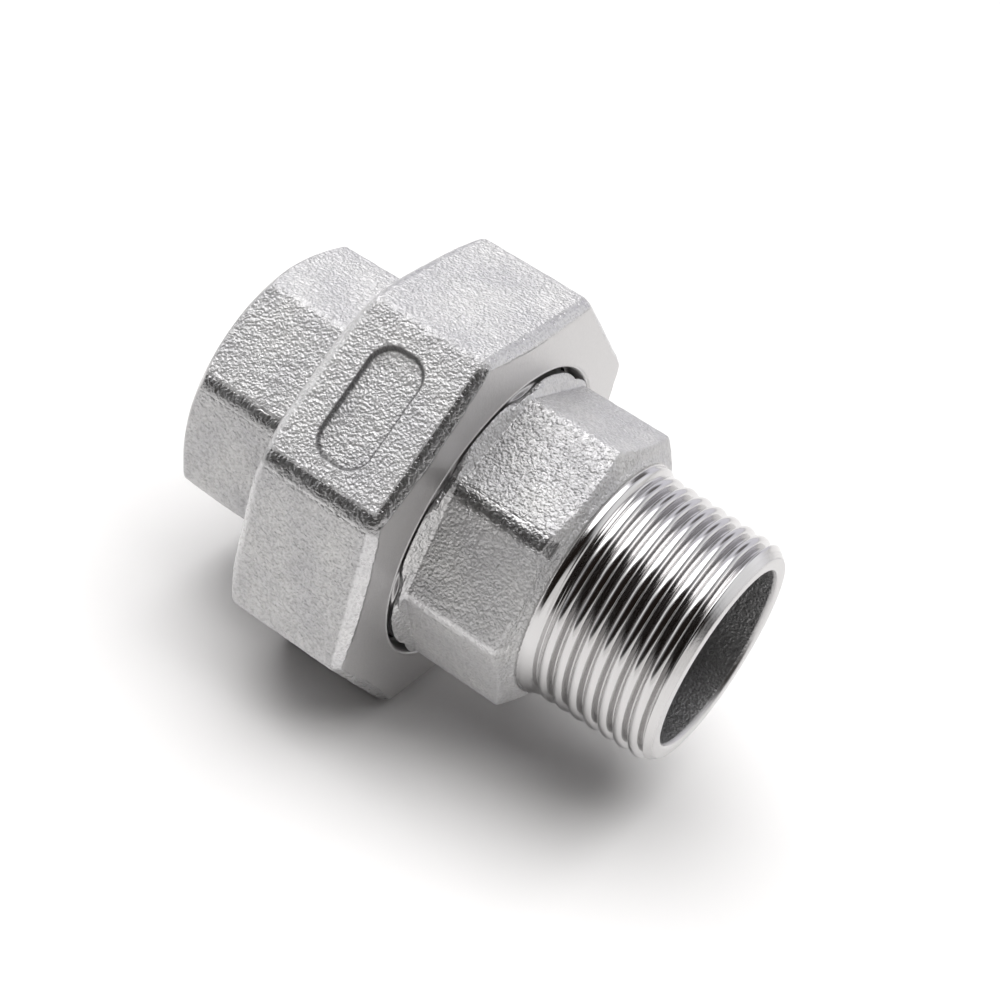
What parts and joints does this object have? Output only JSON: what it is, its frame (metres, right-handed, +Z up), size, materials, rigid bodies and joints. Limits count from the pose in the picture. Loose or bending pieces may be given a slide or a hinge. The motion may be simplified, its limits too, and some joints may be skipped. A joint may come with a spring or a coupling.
{
  "type": "pipe union adapter fitting",
  "caption": "Threaded pipe union with a male and a female taper-thread end, a captive eight-sided nut and a flat seat ring, in cast stainless steel.",
  "frame": {"origin": "on the pipe axis, half way between the two ends", "axes": "+X along the pipe axis towards the male end; +Z up, square to one flat of the nut"},
  "size_m": [0.0594, 0.0464, 0.0464],
  "materials": {
    "cast_steel": "pickled investment casting with turned faces and threads",
    "seat": "white fluoropolymer, satin"
  },
  "bodies": {
    "female_end": {"female_end": "cast_steel"},
    "seat": {"seat_ring": "seat"},
    "nut": {"union_nut": "cast_steel"},
    "male_end": {"male_end": "cast_steel"}
  },
  "joints": [
    {"name": "union_travel", "type": "slide", "parent": "female_end", "child": "seat", "axis": [1, 0, 0], "range_m": [0, 0.00701]},
    {"name": "nut_turn", "type": "hinge", "parent": "seat", "child": "nut", "pos_m": [0, 0, 0], "axis": [1, 0, 0], "range_deg": [0, 1260]},
    {"name": "male_end_swivel", "type": "hinge", "parent": "seat", "child": "male_end", "pos_m": [0, 0, 0], "axis": [1, 0, 0], "continuous": true}
  ],
  "couplings": [
    {"joint": "union_travel", "follows": "nut_turn", "m_per_rad": 0.00031831}
  ]
}
